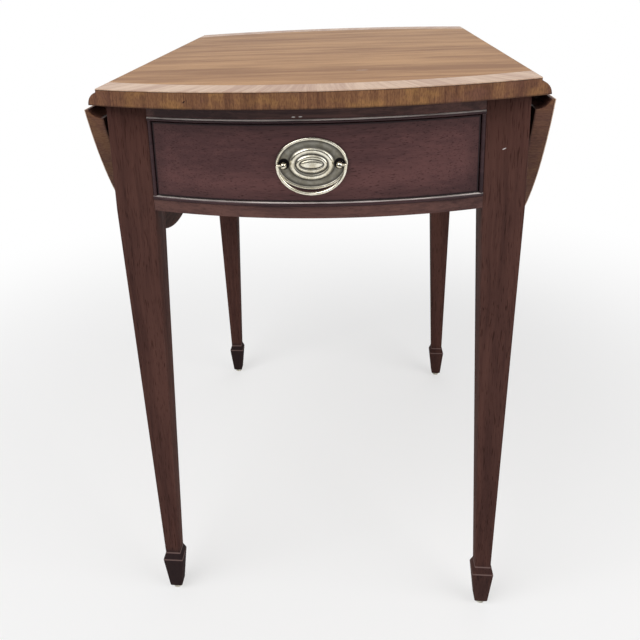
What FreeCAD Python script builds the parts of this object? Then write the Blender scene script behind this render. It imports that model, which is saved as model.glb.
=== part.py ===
import FreeCAD, Part
import Sketcher
import os
import re

# Drop-leaf side table with a bowed drawer end, square tapered legs on spade feet,
# an oval top in three boards and two leaves that hang on rule joints.
# Millimetres. X runs across the drawer end, Y from the drawer to the back, Z up.
# The origin is on the floor under the middle of the top.

SIZES = (
    # The oval top and its veneers
    ("top_height", 711),
    ("top_thick", 19),
    ("oval_width", 960),
    ("oval_length", 750),
    ("crossband_width", 45),
    ("veneer", 1),
    ("edge_band", 1.5),
    # The rule joint between the fixed top and a leaf
    ("leaf_clear", 5),
    ("lip", 3.5),
    ("pin_setback", 4),
    ("joint_gap", 0.4),
    # The hinges of the rule joints
    ("hinge_spacing", 210),
    ("plate_width", 38),
    ("plate_thick", 2),
    ("top_plate_length", 36),
    ("leaf_plate_length", 50),
    ("plate_clear", 1),
    ("tongue_length", 8),
    ("knuckle_radius", 3.4),
    ("knuckle_gap", 0.4),
    ("knuckle_relief", 1.3),
    ("hinge_pin_radius", 1.5),
    ("running_clear", 0.05),
    ("hinge_screw_head_radius", 3.2),
    ("hinge_screw_head_height", 1.6),
    ("hinge_screw_radius", 1.6),
    ("hinge_screw_length", 12),
    # The legs with their spade feet and glides
    ("legs_width", 464),
    ("legs_length", 640),
    ("leg_size", 46),
    ("ankle_size", 20),
    ("ankle_height", 63.5),
    ("spade_size", 27),
    ("spade_height", 54),
    ("foot_size", 16.5),
    ("glide_height", 4),
    ("glide_radius", 7),
    ("glide_tread_radius", 5.5),
    ("nail_radius", 1.4),
    ("nail_length", 14),
    # The apron: bowed ends, side rails and their tenons
    ("apron_height", 125),
    ("bow", 33),
    ("high_rail_height", 14.5),
    ("low_rail_height", 13.5),
    ("side_rail_thick", 18),
    ("tenon_length", 22),
    ("tenon_thick", 10),
    ("tenon_shoulder", 3),
    ("side_tenon_shoulder", 16),
    # The cock beads round the drawer
    ("bead_width", 4.5),
    ("bead_depth", 9),
    ("bead_proud", 2),
    # The fly brackets that hold a raised leaf
    ("fly_thick", 22),
    ("fly_setback", 2),
    ("fly_pivot", 60),
    ("fly_gap", 0.5),
    ("fly_end_gap", 1.5),
    ("fly_pin_radius", 3),
    ("finger_radius", 15),
    ("finger_inset", 24),
    # The drawer and what it runs on
    ("drawer_gap", 1.2),
    ("drawer_recess", 1),
    ("drawer_front_thick", 20),
    ("drawer_depth", 520),
    ("drawer_side_thick", 10),
    ("drawer_side_drop", 4),
    ("drawer_back_thick", 10),
    ("drawer_bottom_thick", 5),
    ("drawer_bottom_rise", 8),
    ("groove_depth", 4),
    ("lap_cover", 7),
    ("pin_end_width", 5),
    ("pin_root_width", 9),
    ("runner_width", 40),
    ("guide_height", 20),
    ("guide_gap", 0.5),
    ("stop_inset", 80),
    ("stop_width", 20),
    ("stop_length", 22),
    ("stop_overlap", 3),
    ("stop_gap", 0.3),
    # The screws that hold the top down
    ("top_screw_spacing", 400),
    ("top_screw_bite", 11),
    ("top_screw_head_radius", 4.5),
    ("top_screw_head_height", 2.5),
    ("top_screw_radius", 2.2),
    # The oval pull
    ("pull_width", 78),
    ("pull_height", 58),
    ("pull_thick", 1),
    ("rim_width", 3),
    ("rim_height", 2),
    ("dome_width", 45),
    ("dome_height", 35),
    ("dome_rise", 3),
    ("boss_width", 32),
    ("boss_height", 18.5),
    ("boss_rise", 4.2),
    ("post_spacing", 60),
    ("post_radius", 2.2),
    ("post_ball_radius", 3.7),
    ("bail_stand", 8.5),
    ("bail_width", 73),
    ("bail_drop", 31.5),
    ("bail_radius", 1.8),
    ("bail_pin_radius", 1.3),
    ("nut_radius", 5),
    ("nut_thick", 4),
    ("thread_over", 2),
    # How far a cutting shape runs past what it cuts
    ("overrun", 5),
)

# Formulas that several pieces share, in the words of the sizes above
WORKED_OUT = {
    "half_width": "oval_width / 2",
    "half_length": "oval_length / 2",
    "top_under": "top_height - top_thick",
    "ovolo": "top_thick - lip",
    "cove": "ovolo + joint_gap",
    "pin_x": "legs_width / 2 + leaf_clear",
    "pin_z": "top_under",
    "joint_x": "pin_x + pin_setback",
    "knuckle_width": "(plate_width - 2 * knuckle_gap) / 3",
    "leg_x": "legs_width / 2 - leg_size / 2",
    "leg_y": "legs_length / 2 - leg_size / 2",
    "leg_inner_x": "legs_width / 2 - leg_size",
    "leg_inner_y": "legs_length / 2 - leg_size",
    "apron_under": "top_under - apron_height",
    "bow_radius": "(leg_inner_x ^ 2 + bow ^ 2) / (2 * bow)",
    "bow_front": "legs_length / 2 + bow",
    "bow_axis": "bow_radius - bow_front",
    "bead_nose": "bow_radius + bead_proud - bead_width / 2",
    "opening_low": "apron_under + low_rail_height + bead_width",
    "opening_high": "top_under - high_rail_height - bead_width",
    "opening_half": "leg_inner_x - bead_width",
    "fly_outer": "legs_width / 2 - fly_setback",
    "fly_inner": "fly_outer - fly_thick",
    "fly_axis": "fly_outer - fly_thick / 2",
    "fly_high": "top_under - fly_gap",
    "fly_third": "(fly_high - apron_under) / 3",
    "fly_shoulder": "fly_thick / 2 + fly_gap",
    "fly_end": "leg_inner_y - fly_end_gap",
    "rail_inner": "fly_inner - side_rail_thick",
    "drawer_low": "opening_low + drawer_gap",
    "drawer_high": "opening_high - drawer_gap",
    "drawer_half": "opening_half - drawer_gap",
    "drawer_face": "bow_radius - drawer_recess",
    "drawer_inside": "drawer_face - drawer_front_thick",
    "side_inner": "drawer_half - drawer_side_thick",
    "side_high": "drawer_high - drawer_side_drop",
    "tail_end": "bow_axis - sqrt(drawer_face ^ 2 - drawer_half ^ 2) + lap_cover",
    "tail_root": "bow_axis - sqrt(drawer_inside ^ 2 - side_inner ^ 2)",
    "drawer_rear": "drawer_depth - legs_length / 2",
    "bottom_low": "drawer_low + drawer_bottom_rise",
    "bottom_high": "bottom_low + drawer_bottom_thick",
    "stop_outer": "stop_inset + stop_width",
    "stop_face": "bow_axis - sqrt(drawer_inside ^ 2 - stop_outer ^ 2) + stop_gap",
    "runner_inner": "rail_inner - runner_width",
    "pull_z": "(opening_low + opening_high) / 2",
    "pull_y": "bow_axis - drawer_face",
    "post_x": "post_spacing / 2",
    "nut_seat": "sqrt(drawer_inside ^ 2 - (post_x + nut_radius) ^ 2) - drawer_face",
}

# Counts
TAILS = 3
NUT_SIDES = 6

X_AXIS = FreeCAD.Vector(1, 0, 0)
Y_AXIS = FreeCAD.Vector(0, 1, 0)
Z_AXIS = FreeCAD.Vector(0, 0, 1)
UPRIGHT = FreeCAD.Rotation(Z_AXIS, 0)
HALF_TURN = FreeCAD.Rotation(Z_AXIS, 180)
ALONG_Y = FreeCAD.Rotation(X_AXIS, -90)
ALONG_X = FreeCAD.Rotation(Y_AXIS, 90)
FACING_FRONT = FreeCAD.Rotation(X_AXIS, 90)
FACING_BACK = HALF_TURN.multiply(FACING_FRONT)

# Each side's sign along X and each end's along Y. The left side is the right one turned
# half round, and the back end is the drawer end turned half round.
SIDES = {"left": "-1", "right": "1"}
ENDS = {"front": "-1", "back": "1"}
SIDE_TURN = {"left": HALF_TURN, "right": UPRIGHT}
END_TURN = {"front": UPRIGHT, "back": HALF_TURN}

doc = FreeCAD.newDocument("DropLeafTable")
sheet = doc.addObject("Spreadsheet::Sheet", "Sizes")
for row, (alias, size) in enumerate(SIZES, start=1):
    sheet.set(f"A{row}", str(size))
    sheet.setAlias(f"A{row}", alias)
doc.recompute()

size_names = {alias for alias, size in SIZES}
subparts = []


def formula(words):
    """Turn a formula in size names into one that reads the sheet."""
    def refer(match):
        word = match.group(0)
        if word in size_names:
            return "Sizes." + word
        if word in WORKED_OUT:
            return "(" + formula(WORKED_OUT[word]) + ")"
        return word
    return re.sub(r"[a-z_]+", refer, words)


def bind(thing, **formulas):
    """Tie properties of a thing to formulas in size names."""
    for name, words in formulas.items():
        thing.setExpression(name, formula(words))


def place(thing, x="0", y="0", z="0", turn=UPRIGHT):
    """Put a thing's own origin at x, y, z and turn it there."""
    thing.Placement = FreeCAD.Placement(FreeCAD.Vector(0, 0, 0), turn)
    for axis, words in (("x", x), ("y", y), ("z", z)):
        thing.setExpression("Placement.Base." + axis, formula(words))
    return thing


def box(name, x_span, y_span, z_span):
    """A block between two places along each axis."""
    thing = doc.addObject("Part::Box", name)
    spans = (x_span, y_span, z_span)
    for side, (low, high) in zip(("Length", "Width", "Height"), spans):
        thing.setExpression(side, formula(f"({high}) - ({low})"))
    return place(thing, x_span[0], y_span[0], z_span[0])


def rod(name, radius, length, x="0", y="0", z="0", turn=UPRIGHT):
    thing = doc.addObject("Part::Cylinder", name)
    bind(thing, Radius=radius, Height=length)
    return place(thing, x, y, z, turn)


def ball(name, radius, x="0", y="0", z="0"):
    thing = doc.addObject("Part::Sphere", name)
    bind(thing, Radius=radius)
    return place(thing, x, y, z)


def oval(name, x_radius, y_radius, z_span, x="0"):
    """An upright prism on an ellipse."""
    line = doc.addObject("Part::Ellipse", name + "_line")
    bind(line, MajorRadius=x_radius, MinorRadius=y_radius)
    place(line, x, "0", z_span[0])
    thing = doc.addObject("Part::Extrusion", name)
    thing.Base = line
    thing.DirMode = "Custom"
    thing.Dir = Z_AXIS
    thing.Solid = True
    bind(thing, LengthFwd=f"({z_span[1]}) - ({z_span[0]})")
    return thing


def fuse(name, things):
    thing = doc.addObject("Part::MultiFuse", name)
    thing.Shapes = things
    return thing


def common(name, things):
    thing = doc.addObject("Part::MultiCommon", name)
    thing.Shapes = things
    return thing


def group(name, things):
    """Like pieces kept side by side as separate solids."""
    thing = doc.addObject("Part::Compound", name)
    thing.Links = things
    return thing


def cut(name, base, tools):
    tool = tools[0] if len(tools) == 1 else fuse(name + "_tools", tools)
    thing = doc.addObject("Part::Cut", name)
    thing.Base = base
    thing.Tool = tool
    return thing


def keep(label, thing):
    """Name a finished sub-part."""
    thing.Label = label
    subparts.append(thing)
    return thing


def screw(name, head_radius, head_height, radius, length):
    """A countersunk screw that points up, with its head's face at its origin."""
    head = doc.addObject("Part::Cone", name + "_head")
    bind(head, Radius1=head_radius, Radius2=radius, Height=head_height)
    shank = rod(name + "_shank", radius, length)
    return fuse(name, [head, shank])


def span(sign, low, high):
    """The span from low to high, or the same span on the other side of zero."""
    return (low, high) if sign == "1" else (f"-({high})", f"-({low})")


def beside_pin(thing, side, u="0", y="0", w="0"):
    """Place a thing by its distance out from, along and above a rule joint's pin."""
    sign = SIDES[side]
    x_place = f"{sign} * (pin_x + ({u}))"
    return place(thing, x_place, f"{sign} * ({y})", f"pin_z + ({w})", SIDE_TURN[side])


def on_leaf(thing, side, u="0", y="0", w="0"):
    """Place a thing as beside_pin does on a raised leaf, then hang the leaf."""
    sign = SIDES[side]
    turn = SIDE_TURN[side].multiply(ALONG_X)
    x_place = f"{sign} * (pin_x + ({w}))"
    return place(thing, x_place, f"{sign} * ({y})", f"pin_z - ({u})", turn)


def square_sketch(body, name, side, height):
    """A square about the body's upright axis at a height."""
    plane = next(f for f in body.Origin.OriginFeatures if f.Role == "XY_Plane")
    sketch = body.newObject("Sketcher::SketchObject", name)
    sketch.AttachmentSupport = [(plane, "")]
    sketch.MapMode = "FlatFace"
    sketch.setExpression("AttachmentOffset.Base.z", formula(height))
    corners = [FreeCAD.Vector(x, y, 0) for x, y in ((-1, -1), (1, -1), (1, 1), (-1, 1))]
    for i, corner in enumerate(corners):
        sketch.addGeometry(Part.LineSegment(corner, corners[(i + 1) % len(corners)]), False)
    for i in range(len(corners)):
        sketch.addConstraint(Sketcher.Constraint("Coincident", i, 2, (i + 1) % len(corners), 1))
    for line, way in enumerate(("Horizontal", "Vertical", "Horizontal", "Vertical")):
        sketch.addConstraint(Sketcher.Constraint(way, line))
    sketch.addConstraint(Sketcher.Constraint("Symmetric", 0, 1, 1, 2, -1, 1))
    sketch.addConstraint(Sketcher.Constraint("Equal", 0, 1))
    width = sketch.addConstraint(Sketcher.Constraint("Distance", 0, 2))
    sketch.renameConstraint(width, "side")
    sketch.setExpression("Constraints.side", formula(side))
    return sketch


def tapered_leg(name):
    """Square under the top, tapered on four sides to the ankle, then a spade foot."""
    body = doc.addObject("PartDesign::Body", name)
    stations = (
        ("leg_size", "top_under"),
        ("leg_size", "apron_under"),
        ("ankle_size", "ankle_height"),
        ("spade_size", "spade_height"),
        ("foot_size", "glide_height"),
    )
    squares = []
    for number, (side, height) in enumerate(stations):
        squares.append(square_sketch(body, f"{name}_square_{number}", side, height))
    loft = body.newObject("PartDesign::AdditiveLoft", name + "_loft")
    loft.Profile = squares[0]
    loft.Sections = squares[1:]
    loft.Ruled = True
    return body


def bowed(name, half_width, z_span, radius, back_y):
    """A board with a bowed front face and a straight back, at the drawer end."""
    blank = box(name + "_blank", (f"-({half_width})", half_width), ("-bow_front", back_y), z_span)
    height = f"({z_span[1]}) - ({z_span[0]})"
    face = rod(name + "_face", radius, height, "0", "bow_axis", z_span[0])
    return common(name, [blank, face])


def bowed_shell(name, half_width, z_span):
    """The drawer front's curved board, hollowed behind to an even thickness."""
    board = bowed(name + "_board", half_width, z_span, "drawer_face", "0")
    height = f"({z_span[1]}) - ({z_span[0]})"
    hollow = rod(name + "_hollow", "drawer_inside", height, "0", "bow_axis", z_span[0])
    return cut(name, board, [hollow])


def bow_bead(name, z_span):
    """A half-round bead along the bowed edge of a rail."""
    height = f"({z_span[1]}) - ({z_span[0]})"
    strip = rod(name + "_strip", "bead_nose", height, "0", "bow_axis", z_span[0])
    inner = rod(name + "_inner", "bow_radius - bead_depth", height, "0", "bow_axis", z_span[0])
    nose = doc.addObject("Part::Torus", name + "_nose")
    bind(nose, Radius1="bead_nose", Radius2="bead_width / 2")
    place(nose, "0", "bow_axis", f"({z_span[0]}) + bead_width / 2")
    ring = fuse(name + "_ring", [cut(name + "_band", strip, [inner]), nose])
    span = box(name + "_span", ("-leg_inner_x", "leg_inner_x"), ("-bow_front - overrun", "0"), z_span)
    return common(name, [ring, span])


def upright_bead(name, low_x, high_x):
    """A straight half-round bead beside a leg."""
    face_y = "bead_width / 2 - bead_proud - legs_length / 2"
    z_span = ("opening_low", "opening_high")
    strip = box(name + "_strip", (low_x, high_x), (face_y, "bead_depth - legs_length / 2"), z_span)
    middle = f"(({low_x}) + ({high_x})) / 2"
    nose = rod(name + "_nose", "bead_width / 2", "opening_high - opening_low", middle, face_y, "opening_low")
    return fuse(name, [strip, nose])


def bead_frame(name):
    """The four beads round a drawer opening."""
    low = bow_bead(name + "_low", ("opening_low - bead_width", "opening_low"))
    high = bow_bead(name + "_high", ("opening_high", "opening_high + bead_width"))
    left = upright_bead(name + "_left", "-leg_inner_x", "-opening_half")
    right = upright_bead(name + "_right", "opening_half", "leg_inner_x")
    return group(name, [low, high, left, right])


def rail_tenons(name, z_span):
    """The two tenons of a bowed rail, in the middle of the legs' thickness."""
    y_span = ("-leg_y - tenon_thick / 2", "-leg_y + tenon_thick / 2")
    z_tenon = (f"({z_span[0]}) + tenon_shoulder", f"({z_span[1]}) - tenon_shoulder")
    tip = "leg_inner_x + tenon_length"
    left = box(name + "_left_tenon", (f"-({tip})", "-leg_inner_x"), y_span, z_tenon)
    right = box(name + "_right_tenon", ("leg_inner_x", tip), y_span, z_tenon)
    return [left, right]


# The two bowed rails of each end and the beads round the drawer opening
RAIL_SPANS = {
    "top_rail": ("opening_high + bead_width", "top_under"),
    "bottom_rail": ("apron_under", "opening_low - bead_width"),
}
leg_tenons = []
for end, end_turn in END_TURN.items():
    for rail_name, rail_span in RAIL_SPANS.items():
        label = f"{end}_{rail_name}"
        board = bowed(label + "_board", "leg_inner_x", rail_span, "bow_radius", "-leg_inner_y")
        tenons = rail_tenons(label, rail_span)
        rail = keep(label, place(fuse(label, [board] + tenons), turn=end_turn))
        leg_tenons.append(rail)
    keep(f"{end}_beads", place(bead_frame(f"{end}_beads"), turn=end_turn))

# The inner side rails, tenoned into the legs, stand behind the fly brackets.
for side in SIDES:
    label = f"{side}_side_rail"
    x_span = ("rail_inner", "fly_inner")
    board = box(label + "_board", x_span, ("-leg_inner_y", "leg_inner_y"), ("apron_under", "top_under"))
    middle = "(rail_inner + fly_inner) / 2"
    tip = "leg_inner_y + tenon_length"
    tenon = box(
        label + "_tenon",
        (f"{middle} - tenon_thick / 2", f"{middle} + tenon_thick / 2"),
        (f"-({tip})", tip),
        ("apron_under + side_tenon_shoulder", "top_under - side_tenon_shoulder"),
    )
    rail = keep(label, place(fuse(label, [board, tenon]), turn=SIDE_TURN[side]))
    leg_tenons.append(rail)

# The legs have a mortise for every tenon, and a hole for the nail of each glide.
LEGS = {
    "front_left_leg": ("-leg_x", "-leg_y"),
    "front_right_leg": ("leg_x", "-leg_y"),
    "back_left_leg": ("-leg_x", "leg_y"),
    "back_right_leg": ("leg_x", "leg_y"),
}
glides = []
for label, (x, y) in LEGS.items():
    tread = doc.addObject("Part::Cone", label + "_tread")
    bind(tread, Radius1="glide_tread_radius", Radius2="glide_radius", Height="glide_height")
    place(tread, x, y)
    nail = rod(label + "_nail", "nail_radius", "nail_length", x, y, "glide_height")
    glide = fuse(label + "_glide", [tread, nail])
    glides.append(glide)
    blank = place(tapered_leg(label + "_blank"), x, y)
    keep(label, cut(label, blank, leg_tenons + [glide]))
keep("foot_glides", group("foot_glides", glides))

# Fly brackets: a fixed block at the middle of each side, with a bracket on a wooden
# knuckle at each end that swings out under the raised leaf.
fly_pins = []
FLY_SPAN = ("fly_inner", "fly_outer")
FLY_HEIGHT = ("apron_under", "fly_high")


def fly_lobe(name, way, y_span, z_span):
    """One lobe of a wooden knuckle, round about the pivot."""
    root = box(name + "_root", FLY_SPAN, y_span, z_span)
    height = f"({z_span[1]}) - ({z_span[0]})"
    round_end = rod(name + "_round", "fly_thick / 2", height, "fly_axis", f"{way} * fly_pivot", z_span[0])
    return fuse(name, [root, round_end])


for side in SIDES:
    turn = SIDE_TURN[side]
    block_y = "fly_pivot - fly_shoulder"
    pieces = [box(f"{side}_fly_middle", FLY_SPAN, (f"-({block_y})", block_y), FLY_HEIGHT)]
    pins = []
    for end, way in ENDS.items():
        name = f"{side}_fly_{end}"
        pin = rod(name + "_pin", "fly_pin_radius", "fly_high - apron_under",
                  "fly_axis", f"{way} * fly_pivot", "apron_under")
        pins.append(pin)
        near = span(way, "fly_pivot - fly_shoulder", "fly_pivot")
        far = span(way, "fly_pivot", "fly_pivot + fly_shoulder")
        low_third = ("apron_under", "apron_under + fly_third - fly_gap")
        mid_third = ("apron_under + fly_third", "fly_high - fly_third")
        high_third = ("fly_high - fly_third + fly_gap", "fly_high")
        pieces.append(fly_lobe(name + "_low_lobe", way, near, low_third))
        pieces.append(fly_lobe(name + "_high_lobe", way, near, high_third))
        lobe = fly_lobe(name + "_lobe", way, far, mid_third)
        arm = box(name + "_arm", FLY_SPAN, span(way, "fly_pivot + fly_shoulder", "fly_end"), FLY_HEIGHT)
        finger = rod(name + "_finger", "finger_radius", "fly_thick", "fly_inner",
                     f"{way} * (fly_end - finger_inset)", "apron_under", ALONG_X)
        bracket = cut(name, fuse(name + "_blank", [arm, lobe]), [pin, finger])
        keep(name, place(bracket, turn=turn))
    block = cut(f"{side}_fly_block", fuse(f"{side}_fly_block_blank", pieces), pins)
    keep(f"{side}_fly_block", place(block, turn=turn))
    fly_pins.append(place(group(f"{side}_fly_pins", pins), turn=turn))
keep("fly_pins", group("fly_pins", fly_pins))

# Runners carry the drawer, guides on them keep it straight, and kickers above keep
# it level as it comes out. The top is screwed down through the kickers.
top_screws = []
for side, sign in SIDES.items():
    turn = SIDE_TURN[side]
    y_span = ("-leg_inner_y", "leg_inner_y")
    shelf = box(f"{side}_shelf", ("runner_inner", "rail_inner"), y_span, ("apron_under", "drawer_low"))
    guide = box(f"{side}_guide", ("drawer_half + guide_gap", "rail_inner"), y_span,
                ("drawer_low", "drawer_low + guide_height"))
    keep(f"{side}_runner", place(fuse(f"{side}_runner", [shelf, guide]), turn=turn))
    strip = box(f"{side}_kicker_strip", span(sign, "runner_inner", "rail_inner"), y_span,
                ("opening_high", "top_under"))
    side_screws = []
    for end, way in ENDS.items():
        fixing = screw(f"{side}_{end}_top_screw", "top_screw_head_radius", "top_screw_head_height",
                       "top_screw_radius", "top_under - opening_high + top_screw_bite")
        place(fixing, f"{sign} * (rail_inner - runner_width / 2)", f"{way} * top_screw_spacing / 2",
              "opening_high")
        side_screws.append(fixing)
    keep(f"{side}_kicker", cut(f"{side}_kicker", strip, side_screws))
    top_screws += side_screws
keep("top_screws", group("top_screws", top_screws))

stops = []
for side, sign in SIDES.items():
    stops.append(box(f"{side}_stop", span(sign, "stop_inset", "stop_outer"),
                     ("stop_face", "stop_face + stop_length"),
                     ("opening_low - bead_width", "drawer_low + stop_overlap")))
keep("drawer_stops", group("drawer_stops", stops))

# Rule-joint hinges: the top's plates carry two knuckles and the pin, the leaf's
# plates one knuckle between them. All are let in flush with the underside.
HINGE_PLACES = ("-hinge_spacing", "0", "hinge_spacing")
PLATE_LOW = "0"
PLATE_HIGH = "plate_thick"
PLATE_Y = ("-plate_width / 2", "plate_width / 2")
PLATE_Z = (PLATE_LOW, PLATE_HIGH)
OUTER_KNUCKLES = (
    ("-plate_width / 2", "knuckle_width - plate_width / 2"),
    ("plate_width / 2 - knuckle_width", "plate_width / 2"),
)
MIDDLE_KNUCKLE = ("-knuckle_width / 2", "knuckle_width / 2")


def knuckle(name, y_span, u_span):
    """A barrel round the pin with the tongue that joins it to its plate."""
    length = f"({y_span[1]}) - ({y_span[0]})"
    barrel = rod(name + "_barrel", "knuckle_radius", length, "0", y_span[0], "0", ALONG_Y)
    tongue = box(name + "_tongue", u_span, y_span, PLATE_Z)
    return [barrel, tongue]


top_plates = []
hinge_pins = []
top_plate_screws = []
top_reliefs = []
leaf_plates = {side: [] for side in SIDES}
leaf_plate_screws = {side: [] for side in SIDES}
TOP_PLATE_NEAR = "-(knuckle_radius + plate_clear)"
for side in SIDES:
    for number, y in enumerate(HINGE_PLACES, start=1):
        name = f"{side}_hinge_{number}"
        pin = rod(name + "_pin", "hinge_pin_radius", "plate_width")
        beside_pin(pin, side, y=f"({y}) - plate_width / 2")
        pin.Placement.Rotation = SIDE_TURN[side].multiply(ALONG_Y)
        hinge_pins.append(pin)

        flap = box(name + "_top_flap", ("-top_plate_length", TOP_PLATE_NEAR), PLATE_Y, PLATE_Z)
        blanks = [flap]
        for knuckle_number, y_span in enumerate(OUTER_KNUCKLES):
            blanks += knuckle(f"{name}_outer_{knuckle_number}", y_span, (TOP_PLATE_NEAR, "0"))
        blank = beside_pin(fuse(name + "_top_blank", blanks), side, y=y)
        screws = []
        for way in ENDS.values():
            fixing = screw(f"{name}_top_screw", "hinge_screw_head_radius", "hinge_screw_head_height",
                           "hinge_screw_radius", "hinge_screw_length")
            beside_pin(fixing, side, "-(top_plate_length + knuckle_radius + plate_clear) / 2",
                       f"({y}) + {way} * plate_width / 4", PLATE_LOW)
            screws.append(fixing)
        top_plates.append(cut(name + "_top_plate", blank, [pin] + screws))
        top_plate_screws += screws

        slot = box(name + "_relief", (TOP_PLATE_NEAR, "ovolo + overrun"),
                   ("-plate_width / 2 - knuckle_gap", "plate_width / 2 + knuckle_gap"),
                   ("-overrun", f"{PLATE_HIGH} + knuckle_gap"))
        groove = rod(name + "_groove", "knuckle_radius + knuckle_relief", "plate_width + 2 * knuckle_gap",
                     "0", "-plate_width / 2 - knuckle_gap", "0", ALONG_Y)
        top_reliefs.append(beside_pin(fuse(name + "_clearing", [slot, groove]), side, y=y))

        flap = box(name + "_leaf_flap", ("tongue_length", "leaf_plate_length"), PLATE_Y, PLATE_Z)
        blanks = [flap] + knuckle(name + "_middle", MIDDLE_KNUCKLE, ("0", "tongue_length"))
        bore = rod(name + "_bore", "hinge_pin_radius + running_clear", "plate_width",
                   "0", "-plate_width / 2", "0", ALONG_Y)
        blank = on_leaf(cut(name + "_leaf_blank", fuse(name + "_leaf_solid", blanks), [bore]), side, y=y)
        screws = []
        for way in ENDS.values():
            fixing = screw(f"{name}_leaf_screw", "hinge_screw_head_radius", "hinge_screw_head_height",
                           "hinge_screw_radius", "hinge_screw_length")
            on_leaf(fixing, side, "(cove + leaf_plate_length) / 2",
                    f"({y}) + {way} * plate_width / 4", PLATE_LOW)
            screws.append(fixing)
        leaf_plates[side].append(cut(name + "_leaf_plate", blank, screws))
        leaf_plate_screws[side] += screws
keep("hinge_top_plates", group("hinge_top_plates", top_plates))
keep("hinge_pins", group("hinge_pins", hinge_pins))
keep("hinge_top_screws", group("hinge_top_screws", top_plate_screws))


def oval_layers(name, x, low, high):
    """The board, edge band and crossband of the oval, between two heights."""
    face = f"({high}) - veneer"
    core = oval(name + "_core", "half_width - edge_band", "half_length - edge_band", (low, high), x)
    around = oval(name + "_around", "half_width", "half_length", (low, face), x)
    within = oval(name + "_within", "half_width - edge_band", "half_length - edge_band", (low, face), x)
    border = oval(name + "_border", "half_width", "half_length", (face, high), x)
    field = oval(name + "_field", "half_width - crossband_width", "half_length - crossband_width",
                 (face, high), x)
    edge = cut(name + "_edge", around, [within])
    cross = cut(name + "_cross", border, [field])
    return core, edge, cross


def ovolo_zone(name):
    """The space of the fixed top: square to the lip, then round about each pin."""
    y_span = ("-half_length - overrun", "half_length + overrun")
    middle = box(name + "_middle", ("-joint_x", "joint_x"), y_span,
                 ("top_under - overrun", "top_height + overrun"))
    rounds = []
    for side, sign in SIDES.items():
        rounds.append(rod(f"{name}_{side}", "ovolo", "oval_length + 2 * overrun",
                          f"{sign} * pin_x", y_span[0], "pin_z", ALONG_Y))
    return fuse(name, [middle] + rounds)


def cove_zone(name):
    """The space of a raised leaf, hollowed round the pin to clear the ovolo."""
    y_span = ("-half_length - overrun", "half_length + overrun")
    reach = "half_width - pin_x + overrun"
    blank = box(name + "_blank", ("pin_setback + joint_gap", reach), y_span,
                ("-overrun", "top_thick + overrun"))
    hollow = rod(name + "_hollow", "cove", "oval_length + 2 * overrun", "0", y_span[0], "0", ALONG_Y)
    return cut(name, blank, [hollow])


# The fixed top: a board with veneered ends and a crossband along each bowed end
core, edge, cross = oval_layers("top", "0", "top_under", "top_height")
top_bands = keep("top_crossbands", common("top_crossbands", [cross, ovolo_zone("crossband_zone")]))
top_edges = common("top_edges", [edge, ovolo_zone("edge_zone")])
keep("top_edge_bands", cut("top_edge_bands", top_edges, top_reliefs))
top_blank = common("top_blank", [core, ovolo_zone("top_zone")])
top_tools = [top_bands] + top_reliefs + top_plates + top_plate_screws + top_screws
keep("fixed_top", cut("fixed_top", top_blank, top_tools))

# The two leaves hang at rest. Each is modelled raised, about its own pin.
for side in SIDES:
    core, edge, cross = oval_layers(f"{side}_leaf", "-pin_x", "0", "top_thick")
    zones = [cove_zone(f"{side}_{layer}_cove") for layer in ("board", "edge", "cross")]
    band = on_leaf(common(f"{side}_leaf_crossband", [cross, zones[2]]), side)
    keep(f"{side}_leaf_crossband", band)
    keep(f"{side}_leaf_edge_band", on_leaf(common(f"{side}_leaf_edge_band", [edge, zones[1]]), side))
    blank = on_leaf(common(f"{side}_leaf_blank", [core, zones[0]]), side)
    leaf_tools = [band] + leaf_plates[side] + leaf_plate_screws[side]
    keep(f"{side}_leaf_panel", cut(f"{side}_leaf_panel", blank, leaf_tools))
    keep(f"{side}_hinge_leaf_plates", group(f"{side}_hinge_leaf_plates", leaf_plates[side]))
    keep(f"{side}_hinge_leaf_screws", group(f"{side}_hinge_leaf_screws", leaf_plate_screws[side]))


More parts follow.
